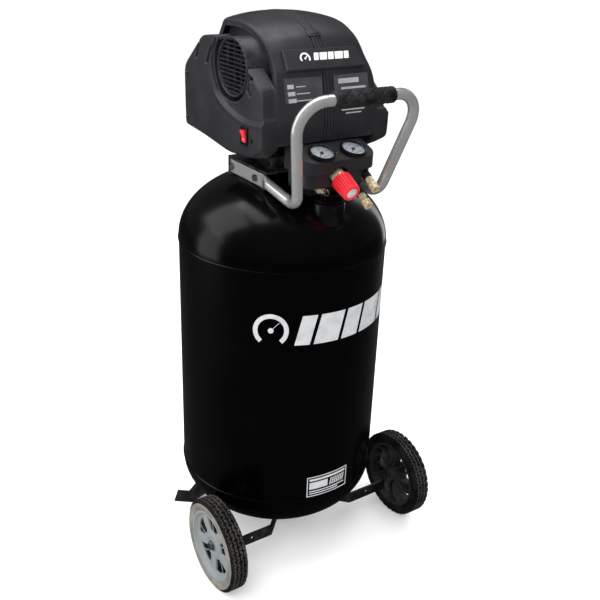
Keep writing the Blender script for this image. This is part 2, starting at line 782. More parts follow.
# ---------------------------------------------------------------- wheels
TREAD_LUGS = 40
TREAD_DEPTH = 0.0046
TREAD_LANE = 0.0092
TREAD_WAVE = 0.0011
SIDEWALL_TOP = 0.0975
HUB_RIBS = 14
HUB_OPENINGS = 5
WINDOW_INNER = 0.034
WINDOW_OUTER = 0.0655
HUB_R = (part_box("wheel_hub_left")[1].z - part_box("wheel_hub_left")[0].z) / 2


def tread_cut(around, across, pitch):
    """Depth of the tread's grooves at a place: staggered blocks between zigzag channels."""
    lane = across / TREAD_LANE
    channel = abs(lane - round(lane)) * TREAD_LANE
    wave = TREAD_WAVE * zigzag(around / pitch * 2 + 0.25)
    channel_cut = 1 - step_up(abs(channel - abs(wave) * 0.4), 0.0006, 0.0017)
    stagger = 0.5 * (int(abs(lane) + 0.5) % 2)
    phase = (around / pitch + stagger + 0.18 * abs(lane)) % 1.0
    cross_cut = 1 - step_up(abs(phase - 0.5) * pitch, 0.0011, 0.0024)
    return TREAD_DEPTH * max(channel_cut, cross_cut)


def tyre(name, side):
    """A solid rubber tyre: a pale outer sidewall, and a deep block tread that runs over both shoulders."""
    low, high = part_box(f"tyre_{name}")
    radius = (high.z - low.z) / 2
    half = (high.x - low.x) / 2
    place = axis_frame((low + high) / 2, RIGHT * side, BACK)
    crown = half * 0.74
    rows = 30
    wall = [
        (HUB_R, half - 0.002), (HUB_R + 0.002, half - 0.0006), (HUB_R + 0.008, half),
        (SIDEWALL_TOP - 0.004, half), (SIDEWALL_TOP - 0.001, half - 0.0006),
        (SIDEWALL_TOP, half - 0.0010), (SIDEWALL_TOP + 0.0022, half - 0.0018),
        (radius - 0.0030, half * 0.86), (radius - 0.0008, crown * 1.06),
    ]
    section = wall + [(radius, crown * (1 - 2 * k / rows)) for k in range(rows + 1)]
    section += [(reach, -height) for reach, height in reversed(wall)]
    count = TREAD_LUGS * 12
    pitch = 2 * pi * radius / TREAD_LUGS
    loops = []
    for step in range(count):
        turn = 2 * pi * step / count
        loop = []
        for reach, height in section:
            fade = step_up(reach, SIDEWALL_TOP - 0.0002, SIDEWALL_TOP + 0.004)
            cut = tread_cut(turn * radius, height, pitch) * fade
            loop.append(place @ polar(reach - cut, turn, height))
        loops.append(loop)
    bm = bmesh.new()
    skin(bm, loops, close=True)
    to_local = place.inverted()
    for face in bm.faces:
        local = to_local @ face.calc_center_median()
        reach = hypot(local.x, local.y)
        if reach < SIDEWALL_TOP - 0.0003:
            face.material_index = 1 if local.z > 0 else 0
        elif reach > radius - 0.0012:
            face.material_index = 2
    materials = [SLOT_MATERIALS["tyre"], SIDEWALL, TREAD_TOP]
    piece(f"tyre_{name}_tread", bm, f"{name}_wheel", "tyre", [f"tyre_{name}"], 50, materials)


def hub(name, side):
    """A dished pale hub with five windows and a stepped boss, over a black core with curved ribs."""
    low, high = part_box(f"tyre_{name}")
    hub_low, hub_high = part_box(f"wheel_hub_{name}")
    centre = (low + high) / 2
    place = axis_frame(centre, RIGHT * side, UP)
    lip = (high.x - low.x) / 2 - 0.002
    bm = bmesh.new()
    lathe(bm, place, [
        (HUB_R, -lip), (HUB_R, lip), (HUB_R - 0.0025, lip + 0.0008), (HUB_R - 0.0060, lip - 0.0002),
        (HUB_R - 0.0072, lip - 0.003), (HUB_R - 0.0115, 0.0120), (HUB_R - 0.0115, 0.0060),
        (HUB_R - 0.0075, 0.004), (HUB_R - 0.0065, -lip),
    ], count=160, close=True)
    outlines = [ring(HUB_R - 0.008, 96)]
    for k in range(HUB_OPENINGS):
        middle = 360 * k / HUB_OPENINGS
        corners = arc(WINDOW_INNER, middle - 17, middle + 17, 6)
        corners += arc(WINDOW_OUTER, middle + 25, middle - 25, 8)
        outlines.append(eased(corners, 0.005, steps=3))
    flat_plate(bm, place, outlines, 0.0055, 0.0112, 0.0016)
    boss_face = 0.0138
    boss_top = min(hub_high.x - centre.x if side > 0 else centre.x - hub_low.x, boss_face)
    boss_low = -0.026
    bore = 0.0066
    lathe(bm, place, [
        (bore, boss_low), (0.0175, boss_low), (0.0182, 0.004), (0.0285, 0.0085), (0.0285, 0.0128),
        (0.0270, boss_face), (0.0190, boss_face), (0.0180, 0.0118), (0.0120, 0.0118), (0.0110, boss_top),
        (bore, boss_top),
    ], count=72, close=True)
    root = 0.017
    for k in range(HUB_RIBS):
        loops = []
        for step in range(7):
            share = step / 6
            turn = 2 * pi * k / HUB_RIBS + 0.22 * sin(pi * share)
            base = polar(root + (HUB_R - 0.006 - root) * share, turn)
            aside = polar(0.0014, turn + pi / 2)
            rib = ((-1, -0.0135), (1, -0.0135), (1, 0.007), (-1, 0.007))
            loops.append([place @ (base + aside * way + UP * height) for way, height in rib])
        skin(bm, loops)
    bm = moulded(bm, 0.00105)
    to_local = place.inverted()
    for face in bm.faces:
        face.material_index = 1 if (to_local @ face.calc_center_median()).z < 0.0062 else 0
    materials = [SLOT_MATERIALS["hub_plastic"], HUB_CORE]
    piece(f"hub_{name}", bm, f"{name}_wheel", "hub_plastic", [f"wheel_hub_{name}"], 180, materials)


# ---------------------------------------------------------------- pump cover
cover_low, cover_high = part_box("centre_cover")
COVER_FOOT_HALF = cover_high.x
COVER_TOP_HALF = COVER_FOOT_HALF - 0.010
DRAFT_START = 1.060
DRAFT_END = 1.150
COVER_T = 0.003
RIM = 0.013
WALL_X = 0.094
TOP = cover_high.z
REAR = cover_high.y
FRONT = cover_low.y
CROWN = 0.0135
GROOVE_AT = 0.0105
BADGE_FOOT = Vector((0, -0.119, 1.108))
BADGE_HEAD = Vector((0, -0.084, 1.155))

# Side outlines of the cover as (y, z, corner cut), in the middle and at its lower, shorter ends.
NOSE = ((FRONT + 0.005, 0.980, 0), (FRONT, 1.012, 0.010), (FRONT + 0.004, 1.059, 0.020))
MIDDLE_LINE = NOSE + (
    (BADGE_FOOT.y, BADGE_FOOT.z, 0.012), (BADGE_HEAD.y, BADGE_HEAD.z, 0.008), (-0.069, 1.173, 0.012),
    (-0.029, 1.194, 0.022), (0.029, TOP, 0.030), (0.078, TOP - 0.0005, 0.024), (0.135, 1.190, 0.016),
    (REAR - 0.006, 1.090, 0.030), (REAR - 0.004, 0.962, 0),
)
END_LINE = NOSE + (
    (-0.114, 1.108, 0.012), (-0.082, 1.147, 0.008), (-0.064, 1.164, 0.012), (-0.024, 1.184, 0.022),
    (0.020, TOP - CROWN, 0.030), (0.058, TOP - CROWN - 0.0005, 0.022), (0.091, 1.188, 0.010),
    (0.150, 1.100, 0.030), (REAR - 0.016, 0.962, 0),
)


def fine_line(points):
    """An outline with eased corners and short, even steps between them."""
    outline = eased(points, fraction=0.49, steps=5, closed=False)
    result = []
    for first, second in zip(outline, outline[1:]):
        result.extend(first.lerp(second, part / 4) for part in range(4))
    return result + [outline[-1]]


MIDDLE = fine_line(MIDDLE_LINE)
END = fine_line(END_LINE)


def inward(line, index):
    ahead = line[min(index + 1, len(line) - 1)] - line[max(index - 1, 0)]
    return Vector((ahead.y, -ahead.x)).normalized()


def half_width(z):
    return COVER_FOOT_HALF + (COVER_TOP_HALF - COVER_FOOT_HALF) * step_up(z, DRAFT_START, DRAFT_END)


def cover_point(index, share, inset):
    """A point of the cover at a step of its outline, a share of its half width, drawn in by an inset."""
    bow = min(abs(share), 1.0) ** 2.4
    way = inward(MIDDLE, index).lerp(inward(END, index), bow)
    spot = MIDDLE[index].lerp(END[index], bow) + way * inset
    return Vector((share * half_width(MIDDLE[index].y), spot.x, spot.y))


def cover_section(index):
    """Closed cross-section: rims at both ends, a raised band between two grooves, a hollow below."""
    half = half_width(MIDDLE[index].y)
    edge = 0.0045
    rows = [(1.0, RIM), (1.0, RIM * 0.62)]
    for step in range(5):
        turn = pi / 2 * step / 4
        rows.append((1 - (edge - edge * cos(turn)) / half, edge * (1 - sin(turn))))
    first = rows[-1][0]
    last = (GROOVE_AT + 0.0016) / half
    rows += [(first + (last - first) * k / 15, 0.0) for k in range(1, 16)]
    band = (
        (GROOVE_AT + 0.0006, 0.0018), (GROOVE_AT - 0.0008, 0.0018), (GROOVE_AT - 0.0016, -0.0004),
        (0.0056, -0.0006), (0.0048, 0.0010), (0.0036, 0.0010), (0.0028, -0.0006), (0.0, -0.0006),
    )
    rows += [(x / half, inset) for x, inset in band]
    rows += [(-share, inset) for share, inset in reversed(rows[:-1])]
    wall = WALL_X / half
    rows += [(-wall, RIM), (-wall, COVER_T), (wall, COVER_T), (wall, RIM)]
    return [cover_point(index, share, inset) for share, inset in rows]


DRUM_AXIS = Vector((0, JOINTS["motor_spin"]["pos_m"][1], JOINTS["motor_spin"]["pos_m"][2]))
grille_low, grille_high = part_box("vent_grilles")
DRUM_R = (grille_high.z - grille_low.z) / 2


def centre_cover():
    bm = bmesh.new()
    skin(bm, [cover_section(index) for index in range(len(MIDDLE))])
    hole = [point.xy + DRUM_AXIS.yz for point in ring(DRUM_R - 0.001, 64)]
    outline = [END[index] + inward(END, index) * (RIM - 0.001) for index in range(0, len(END), 2)]
    for sign in SIDES.values():
        # The wall's plane has the frame's Y as its x and the frame's Z as its y.
        place = Matrix(((0, 0, 1, sign * WALL_X), (1, 0, 0, 0), (0, 1, 0, 0), (0, 0, 0, 1)))
        flat_plate(bm, place, [outline, hole], -0.0015, 0.0015, 0.0004)
    piece("cover_arch", bm, "tank", "cover_plastic", ["centre_cover"], 32)


def front_point(x, z, inset):
    """A point on the cover's front face at an x and a height, drawn in by an inset."""
    upper = next(index for index in range(1, len(MIDDLE)) if MIDDLE[index].y >= z)
    t = (z - MIDDLE[upper - 1].y) / (MIDDLE[upper].y - MIDDLE[upper - 1].y)
    share = x / half_width(z)
    return cover_point(upper - 1, share, inset).lerp(cover_point(upper, share, inset), t)


def cover_patch(bm, x_low, x_high, z_low, z_high, lift, material=1):
    """A thin patch that follows the cover's front between two heights and two x places."""
    loops = []
    for k in range(11):
        x = x_low + (x_high - x_low) * k / 10
        heights = [z_low + (z_high - z_low) * row / 12 for row in range(13)]
        face = [front_point(x, z, -lift) for z in heights]
        loops.append([front_point(x, z_low, 0.0006)] + face + [front_point(x, z_high, 0.0006)])
    skin(bm, loops, material=material)


def cover_labels():
    """Two printed panels under the badge: plain bars stand where the ratings were."""
    bm = bmesh.new()
    for x_low, x_high in ((-0.098, -0.014), (0.014, 0.098)):
        cover_patch(bm, x_low, x_high, 1.060, 1.103, 0.0003, 0)
    for row in range(3):
        z = 1.092 - 0.0125 * row
        cover_patch(bm, -0.092, -0.078 + 0.002 * row, z - 0.0075, z, 0.0006)
        cover_patch(bm, -0.073, -0.052 + 0.009 * row, z - 0.0055, z - 0.0035, 0.0006)
    cover_patch(bm, 0.024, 0.074, 1.087, 1.096, 0.0006)
    cover_patch(bm, 0.030, 0.090, 1.076, 1.080, 0.0006)
    cover_patch(bm, 0.024, 0.066, 1.067, 1.070, 0.0006)
    cover_patch(bm, 0.030, 0.086, 1.036, 1.0385, 0.0004)
    cover_patch(bm, 0.040, 0.078, 1.0295, 1.032, 0.0004)
    piece("cover_labels", bm, "tank", "cover_plastic", materials=[LABEL_FILM, PRINT_GREY])


def cover_catch():
    """The small rectangular catch where the centre band ends above the badge."""
    index = min(range(len(MIDDLE)), key=lambda k: (MIDDLE[k] - Vector((-0.068, 1.174))).length)
    way = inward(MIDDLE, index)
    place = axis_frame(cover_point(index, 0, 0), Vector((0, -way.x, -way.y)))
    bm = bmesh.new()
    flat_plate(bm, place, [box_outline(0.030, 0.012, 0.0015)], -0.002, 0.0022, 0.0008)
    flat_plate(bm, place, [box_outline(0.020, 0.003, 0.0008)], 0.0015, 0.0034, 0.0005)
    piece("cover_catch", bm, "tank", "cover_plastic")


BADGE_HALF = 0.087
BADGE_TALL = 0.0215
BADGE_T = 0.0058
BADGE_TAPER = 0.0034
BADGE_BARS = (0.0085, 0.0135, 0.0105, 0.0155, 0.0090)


def badge_body(place):
    """A wedge-shaped plate, thick along its lower edge, with rounded outer edges."""
    foot = [(-BADGE_HALF - 0.0025, -BADGE_TALL), (BADGE_HALF + 0.0025, -BADGE_TALL)]
    head = [(BADGE_HALF - 0.002, BADGE_TALL), (-BADGE_HALF + 0.002, BADGE_TALL)]
    outline = eased(foot + head, 0.0025, steps=3)
    loops = []
    for inset, lift in ((0.0, -0.0030), (0.0, 0.82), (0.0003, 0.93), (0.0010, 0.99), (0.0020, 1.0)):
        loop = []
        for x, y in outline:
            top = BADGE_T - BADGE_TAPER * (y + BADGE_TALL) / (2 * BADGE_TALL)
            height = lift if lift < 0 else top * lift
            spot = Vector((x * (1 - inset / BADGE_HALF), y * (1 - inset / BADGE_TALL), height))
            loop.append(place @ spot)
        loops.append(loop)
    bm = bmesh.new()
    skin(bm, loops)
    piece("badge_body", bm, "tank", "badge_plastic", ["badge_plate"])


def badge_mark(place):
    """A plain raised roundel and slanted bars, with no lettering."""
    middle = (-0.036, 0.0)
    x = middle[0]
    outlines = [arc(0.0095, -50, 230, 28, middle) + arc(0.0068, 230, -50, 28, middle)]
    outlines += [[Vector(middle) + spot.xy for spot in ring(0.0017, 16)]]
    left = -0.0215
    for width in BADGE_BARS:
        right = left + width
        outlines += [[(left, -0.0082), (right, -0.0082), (right + 0.0038, 0.0082), (left + 0.0038, 0.0082)]]
        left = right + 0.0024
    pointer = [(x - 0.0007, 0.0007), (x + 0.0007, -0.0007), (x + 0.0062, 0.0052), (x + 0.0055, 0.0059)]
    bm = bmesh.new()
    for outline in outlines:
        flat_plate(bm, place, [outline], -0.0006, 0.0006, 0.0002)
    flat_plate(bm, place, [pointer], -0.0006, 0.0006, 0.0001)
    piece("badge_mark", bm, "tank", "badge_plastic", materials=[PRINT_WHITE])


def badge():
    """The nameplate on the cover's slope: x to the right, y up the slope and z out of the cover."""
    up = (BADGE_HEAD - BADGE_FOOT).normalized()
    place = Matrix.Translation((BADGE_FOOT + BADGE_HEAD) / 2)
    place = place @ Matrix((RIGHT, up, RIGHT.cross(up))).transposed().to_4x4()
    badge_body(place)
    tilt = Matrix.Translation((0, 0, 0.0041)) @ Matrix.Rotation(BADGE_TAPER / (2 * BADGE_TALL), 4, "X")
    badge_mark(place @ tilt @ Matrix.Translation((0.002, 0.001, 0)) @ Matrix.Diagonal((1.22, 1.22, 1, 1)))


# ---------------------------------------------------------------- side covers and grilles
pod_low, pod_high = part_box("side_cover_left")
POD_X = -pod_low.x
POD_IN = -pod_high.x
POD_FRONT = pod_low.y
POD_REAR = pod_high.y
OPENING = Vector((-0.008, 1.113))
OPENING_R = 0.067
CREASE_Y = -0.075
CREASE_Z = 1.018
FACET_CREASE_Z = 1.030
HOLLOW_DEPTH = 0.0062
RIDGE_HEIGHT = 0.0012
LIP_DEPTH = 0.013
SLOT_DEPTH = 0.009
SWELL = 0.0012
FACET_DEPTH = 0.0050

# Front edge of each side cover from its foot up, as its place on the outer face, its place on the inner
# face and its corner cut. Only the left cover rises to a horn in front of its opening.
FOOT_EDGE = (((-0.092, 0.953), (-0.106, 0.953), 0.008), ((POD_FRONT, 0.974), (-0.130, 0.972), 0.010))
POD_EDGES = {
    -1: FOOT_EDGE + (
        ((POD_FRONT - 0.001, 1.030), (-0.1325, 1.030), 0.020), ((POD_FRONT, 1.078), (-0.124, 1.082), 0.016)),
    1: FOOT_EDGE + (
        ((POD_FRONT - 0.001, 1.026), (-0.1325, 1.022), 0.020), ((-0.098, 1.065), (-0.114, 1.065), 0.016)),
}
POD_BACK = (
    (0.050, 1.164, 0.008), (0.105, 1.156, 0.012), (POD_REAR, 1.088, 0.016), (POD_REAR, 0.964, 0.008),
    (0.100, 0.958, 0.020), (-0.005, 0.945, 0.020),
)
POD_SLOTS = (((0.118, 1.140), (0.127, 1.112)), ((0.067, 1.138), (0.083, 1.108)))
HORN_SLOTS = (
    ((-0.0805, 1.1035), (-0.0745, 1.0815)), ((-0.0805, 1.1035), (-0.0915, 1.1010)),
    ((-0.0745, 1.0815), (-0.0830, 1.0715)),
)


def pod_outline(sign, lean):
    """Side outline of a side cover, whose front edge moves from its outer place (0) to its inner one (1)."""
    first = 175 if sign < 0 else 207
    steps = (399 - first) // 8
    opening = arc(OPENING_R, first, first + 8 * steps, steps, OPENING)
    edge = [(*Vector(outer).lerp(Vector(inner), lean), cut) for outer, inner, cut in POD_EDGES[sign]]
    chain = [(*opening[-1], 0.004), *POD_BACK, *edge, (*opening[0], 0.004)]
    return opening + eased(chain, closed=False)[1:-1]


def gap_to_segment(point, start, end):
    """Distance from a 2-D point to a line segment."""
    along = end - start
    t = min(max((point - start).dot(along) / along.length_squared, 0.0), 1.0)
    return (point - start - along * t).length


def pod_relief(co, normal):
    """How the side cover departs from flat: a hollow above its sweeping crease, slots and a conical lip."""
    spot = Vector((co.y, co.z))
    sign = 1 if co.x > 0 else -1
    side_face = step_up(normal.x * sign, 0.25, 0.75) * step_up(abs(co.x), POD_X - 0.020, POD_X - 0.006)
    facet = step_up(-normal.y, 0.25, 0.6) * step_up(abs(co.x), POD_IN + 0.001, POD_IN + 0.004)
    above = co.z - CREASE_Z - 2.2 * (co.y - CREASE_Y) ** 2
    hollow = step_up(above, -0.001, 0.006) * (1 - step_up(above, 0.014, 0.080))
    ridge = 1 - step_up(abs(above + 0.003), 0.0, 0.008)
    reach = 1 - step_up(co.y, 0.020, 0.060)
    depth = (HOLLOW_DEPTH * hollow - RIDGE_HEIGHT * ridge) * reach
    cone = (spot - OPENING - Vector((0.004, 0))).length
    depth += LIP_DEPTH * (1 - step_up(cone, OPENING_R - 0.006, OPENING_R + 0.006))
    for start, end in POD_SLOTS + (HORN_SLOTS if sign < 0 else ()):
        away = gap_to_segment(spot, Vector(start), Vector(end))
        depth += SLOT_DEPTH * (1 - step_up(away, 0.0022, 0.0042))
    swell = SWELL * sin(pi * min(max((co.z - 0.95) / 0.2, 0), 1))
    depth = (depth - swell + SWELL) * side_face
    rise = co.z - FACET_CREASE_Z
    facet *= (1 - side_face) * step_up(rise, -0.001, 0.006) * (1 - step_up(rise, 0.012, 0.060))
    depth += FACET_DEPTH * facet
    return -normal * depth


def side_cover(name, sign):
    """A deep moulded side cover with a slanting front, cut round the grille."""
    bm = bmesh.new()
    loops = []
    for x, lean in ((POD_IN - 0.004, 0.5), (POD_IN, 0.5), (POD_IN + 0.0003, 1.0), (POD_X, 0.0)):
        loops.append([(sign * x, y, z) for y, z in pod_outline(sign, lean)])
    skin(bm, loops)
    bmesh.ops.recalc_face_normals(bm, faces=bm.faces)
    outer = [face for face in bm.faces if abs(face.calc_center_median().x) > POD_X - 0.001]
    rim = [edge for face in outer for edge in face.edges]
    bmesh.ops.bevel(
        bm, geom=rim, offset=0.0055, segments=3, profile=0.5, affect="EDGES", clamp_overlap=True)
    bm = moulded(bm, 0.0014, pod_relief)
    piece(f"side_shell_{name}", bm, "tank", "cover_plastic", [f"side_cover_{name}"], 180)


LOUVRE_PITCH = 0.0081
LOUVRE_LEAN = radians(38)
RIB_PITCH = 0.026


def grille(name, sign):
    """A round outlet drum with slanted louvres and three upright ribs."""
    out = -grille_low.x if sign < 0 else grille_high.x
    inner = DRUM_R - 0.0035
    bm = bmesh.new()
    lathe(bm, axis_frame(DRUM_AXIS, RIGHT * sign, BACK), [
        (DRUM_R, WALL_X - 0.002), (DRUM_R, out - 0.0016), (DRUM_R - 0.0006, out - 0.0004),
        (DRUM_R - 0.0016, out), (inner + 0.0008, out - 0.0004), (inner, out - 0.0014),
        (inner, WALL_X - 0.002),
    ], count=96, close=True)
    tilt = Matrix.Rotation(LOUVRE_LEAN, 2)
    blade = [tilt @ Vector((0.0044 * cos(turn), 0.0011 * sin(turn))) for turn in (
        radians(degrees) for degrees in (20, 70, 110, 160, 200, 250, 290, 340))]
    for row in range(-6, 7):
        reach = sqrt((DRUM_R - 0.0012) ** 2 - (row * LOUVRE_PITCH) ** 2)
        middle = DRUM_AXIS.z + row * LOUVRE_PITCH
        loops = []
        for k in range(9):
            y = DRUM_AXIS.y + reach * (k / 4 - 1)
            loops.append([(sign * (out - 0.0055 + x), y, middle + z) for x, z in blade])
        skin(bm, loops)
    for column in (-1, 0, 1):
        offset = column * RIB_PITCH
        reach = sqrt((DRUM_R - 0.0012) ** 2 - offset**2)
        corners = ((-0.0014, -0.0105), (0.0014, -0.0105), (0.0014, -0.0060), (-0.0014, -0.0060))
        loops = []
        for z in (DRUM_AXIS.z - reach, DRUM_AXIS.z + reach):
            loops.append([(sign * (out + x), DRUM_AXIS.y + offset + y, z) for y, x in corners])
        skin(bm, loops)
    piece(f"vent_grille_{name}", bm, "tank", "cover_plastic", ["vent_grilles"], 45)


# ---------------------------------------------------------------- console and gauges
GAUGE_JOINTS = ("tank_needle_sweep", "outlet_needle_sweep")
GAUGES = [joint_frame(joint, -1) for joint in GAUGE_JOINTS]


def console():
    """The gauge console's moulded shell with softened edges, and a screw between the gauges."""
    bm = bmesh.new()
    bm.from_mesh(frame["nodes"]["console_housing"].data)
    bmesh.ops.remove_doubles(bm, verts=bm.verts, dist=0.00001)
    piece("console_shell", moulded(bm, 0.0012), "tank", "cover_plastic", ["console_housing"], 180)
    place = GAUGES[0].copy()
    place.translation = (GAUGES[0].translation + GAUGES[1].translation) / 2
    bm = bmesh.new()
    lathe(bm, place, [
        (0.0036, -0.001), (0.0036, 0.0006), (0.0030, 0.0014), (0.0016, 0.0017), (0.0014, 0.0008),
        (0.0002, 0.0008),
    ], count=32)
    piece("console_screw", bm, "tank", "dark_zinc")


def gauge_case(bm, place):
    lathe(bm, place, [
        (0.0010, -0.0355), (0.0055, -0.0355), (0.0060, -0.0350), (0.0060, -0.0240), (0.0205, -0.0240),
        (0.0220, -0.0225), (0.0220, 0.0002), (0.0258, 0.0002), (0.0267, 0.0008), (0.0270, 0.0018),
        (0.0270, 0.0056), (0.0266, 0.0072), (0.0256, 0.0084), (0.0247, 0.0088), (0.0239, 0.0086),
        (0.0233, 0.0078), (0.0231, 0.0066), (0.0231, 0.0030), (0.0010, 0.0028),
    ], count=96)


DIAL_TOP = 0.0040
PRINT_LOW = 0.0039
PRINT_TOP = 0.00412
DIGITS = {
    "0": ((0, 0), (1, 0), (1, 1.6), (0, 1.6), (0, 0)),
    "1": ((0.5, 0), (0.5, 1.6)),
    "2": ((1, 0), (0, 0), (0, 0.8), (1, 0.8), (1, 1.6), (0, 1.6)),
    "5": ((0, 0), (1, 0), (1, 0.8), (0, 0.8), (0, 1.6), (1, 1.6)),
}
DIGIT_SIZE = 0.00115
SCALE_START = 225
SCALE_SWEEP = 270


def number(bm, place, text, centre):
    """A small number drawn in straight strokes."""
    pitch = 1.7 * DIGIT_SIZE
    left = centre.x - (pitch * (len(text) - 1) + DIGIT_SIZE) / 2
    for index, digit in enumerate(text):
        corner = Vector((left + pitch * index, centre.y - 0.8 * DIGIT_SIZE))
        points = [corner + Vector(spot) * DIGIT_SIZE for spot in DIGITS[digit]]
        polyline(bm, place, points, 0.26 * DIGIT_SIZE, PRINT_LOW, PRINT_TOP)


def gauge_dial(bm, place):
    """A white dial with a black scale from 0 to 200 and a dark centre."""
    lathe(bm, place, [
        (0.0010, 0.0031), (0.0229, 0.0031), (0.0229, 0.0038), (0.0226, DIAL_TOP), (0.0010, DIAL_TOP),
    ], count=72)
    for tick in range(41):
        along = polar(1.0, radians(SCALE_START - SCALE_SWEEP * tick / 40)).xy
        inner, width = 0.0192, 0.00028
        if tick % 5 == 0:
            inner, width = 0.0184, 0.00045
        if tick % 10 == 0:
            inner, width = 0.0172, 0.0007
            number(bm, place, str(tick * 5), along * 0.0142)
        polyline(bm, place, [along * inner, along * 0.0206], width, PRINT_LOW, PRINT_TOP)
    lathe(bm, place, [
        (0.0010, PRINT_LOW), (0.0042, PRINT_LOW), (0.0042, PRINT_TOP), (0.0010, PRINT_TOP),
    ], count=32, material=1)
    polyline(bm, place, [(-0.0042, -0.0125), (0.0042, -0.0125)], 0.0011, PRINT_LOW, PRINT_TOP)


def gauge_lens(bm, place):
    """A slightly domed clear cover."""
    lathe(bm, place, [
        (0.0004, 0.0083), (0.0080, 0.0082), (0.0160, 0.0078), (0.0228, 0.0072), (0.0228, 0.0064),
        (0.0160, 0.0070), (0.0080, 0.0074), (0.0004, 0.0075),
    ], count=72)


def gauge_needle(bm, place):
    """A tapered pointer with a tail, on a domed hub and a thin arbor."""
    pointer = [
        (-0.0052, -0.0009), (-0.0052, 0.0009), (0.0, 0.0009), (0.0168, 0.0005), (0.0182, 0.0),
        (0.0168, -0.0005), (0.0, -0.0009),
    ]
    turn = Matrix.Rotation(radians(SCALE_START), 4, "Z")
    flat_plate(bm, place @ turn, [pointer], 0.0049, 0.0055, 0.0001)
    lathe(bm, place, [
        (0.0003, 0.0012), (0.0008, 0.0012), (0.0008, 0.0046), (0.0016, 0.0046), (0.0016, 0.0053),
        (0.0012, 0.0057), (0.0003, 0.0058),
    ], count=32)


def gauges():
    for name, build, slot, node, materials in (
        ("gauge_bezels", gauge_case, "bezel_plastic", "gauge_cases", ()),
        ("gauge_faces", gauge_dial, "dial_white", "gauge_dials", [SLOT_MATERIALS["dial_white"], PRINT_BLACK]),
        ("gauge_glasses", gauge_lens, "lens", "gauge_lenses", ()),
    ):
        bm = bmesh.new()
        for place in GAUGES:
            build(bm, place)
        piece(name, bm, "tank", slot, [node], 36, materials)
    for name, place in zip(("tank", "outlet"), GAUGES):
        bm = bmesh.new()
        gauge_needle(bm, place)
        piece(f"{name}_gauge_needle_pointer", bm, f"{name}_needle", "needle", [f"{name}_gauge_needle"])


# ---------------------------------------------------------------- regulator knob
KNOB_RIBS = 24
KNOB_RIB_STEPS = 12
KNOB_FLANK = 0.0180
KNOB_GROOVE = 0.0025


def knob_body(place):
    """A tapered red knob with deep grooves, bored for its stem."""
    profile = [
        (0.0053, 0.0225), (0.0053, 0.0032), (0.0155, 0.0032), (0.0160, 0.0028), (0.0160, 0.0002),
        (0.0196, 0.0002), (0.0204, 0.0008), (0.0206, 0.0018), (0.0205, 0.0032), (0.0204, 0.0048),
        (0.0202, 0.0075), (0.0196, 0.0180), (0.0190, 0.0280), (0.01865, 0.0335), (0.0184, 0.0360),
        (0.0183, 0.0375), (0.0182, 0.0388), (0.0178, 0.0406), (0.0168, 0.0417), (0.0152, 0.0420),
        (0.0124, 0.0420), (0.0112, 0.0418), (0.0110, 0.0412), (0.0110, 0.0404), (0.0004, 0.0404),
    ]
    count = KNOB_RIBS * KNOB_RIB_STEPS
    loops = []
    for radius, height in profile:
        depth = KNOB_GROOVE * step_up(height, 0.0034, 0.0070) * (1 - step_up(height, 0.0335, 0.0380))
        loop = []
        for step in range(count):
            across = abs((step % KNOB_RIB_STEPS) / KNOB_RIB_STEPS - 0.5) * 2
            cut = depth * (1 - step_up(across, 0.14, 0.46)) if radius > KNOB_FLANK else 0.0
            loop.append(place @ polar(radius - cut, 2 * pi * step / count, height))
        loops.append(loop)
    bm = bmesh.new()
    skin(bm, loops)
    piece("knob_body", bm, "regulator_control", "red_plastic", ["regulator_knob"], 34)


def knob_disc(place):
    """The knob's grey cap, printed with a ring and two turning arrows."""
    low, high = 0.0412, 0.0416
    bm = bmesh.new()
    lathe(bm, place, [
        (0.0004, 0.0403), (0.0108, 0.0403), (0.0108, 0.0411), (0.0104, 0.0414), (0.0004, 0.0415),
    ])
    lathe(bm, place, [(0.0084, low), (0.0090, low), (0.0090, high), (0.0084, high)], close=True, material=1)
    for start, end in ((40, 140), (220, 320)):
        points = arc(0.0056, start, end, 8)
        polyline(bm, place, points, 0.0009, low, high)
        for degrees in (end - 60, end - 150):
            barb = points[-1] + polar(0.0024, radians(degrees)).xy
            polyline(bm, place, [points[-1], barb], 0.0009, low, high)
    materials = [SLOT_MATERIALS["knob_cap"], PRINT_GREY]
    piece("knob_disc", bm, "regulator_control", "knob_cap", ["knob_cap"], materials=materials)


# ---------------------------------------------------------------- quick couplers
COUPLER_LEN = 0.021
KNURL_STEPS = 144
KNURL_DEPTH = 0.00035


def sleeve(place, name):
    """A knurled sliding sleeve with a pale turned rim."""
    profile = [
        (0.00712, 0.0158), (0.0082, 0.0156), (0.0088, 0.0162), (0.0088, 0.0172), (0.0094, 0.0178),
        (0.0094, 0.0222), (0.0088, 0.0228), (0.0083, 0.0236), (0.0083, 0.0262), (0.0092, 0.0272),
        (0.0095, 0.0284), (0.0095, 0.0300), (0.0090, 0.0312), (0.0080, 0.0315), (0.00712, 0.0312),
    ]
    loops = []
    for radius, height in profile:
        knurl = KNURL_DEPTH if radius > 0.0093 and 0.0175 < height < 0.0225 else 0.0
        loop = []
        for step in range(KNURL_STEPS):
            cut = knurl if step % 4 < 2 else 0.0
            loop.append(place @ polar(radius - cut, 2 * pi * step / KNURL_STEPS, height))
        loops.append(loop)
    bm = bmesh.new()
    skin(bm, loops, close=True)
    piece(f"{name}_sleeve_ring", bm, f"{name}_sleeve", "brass", [f"{name}_coupler_sleeve"], 30)


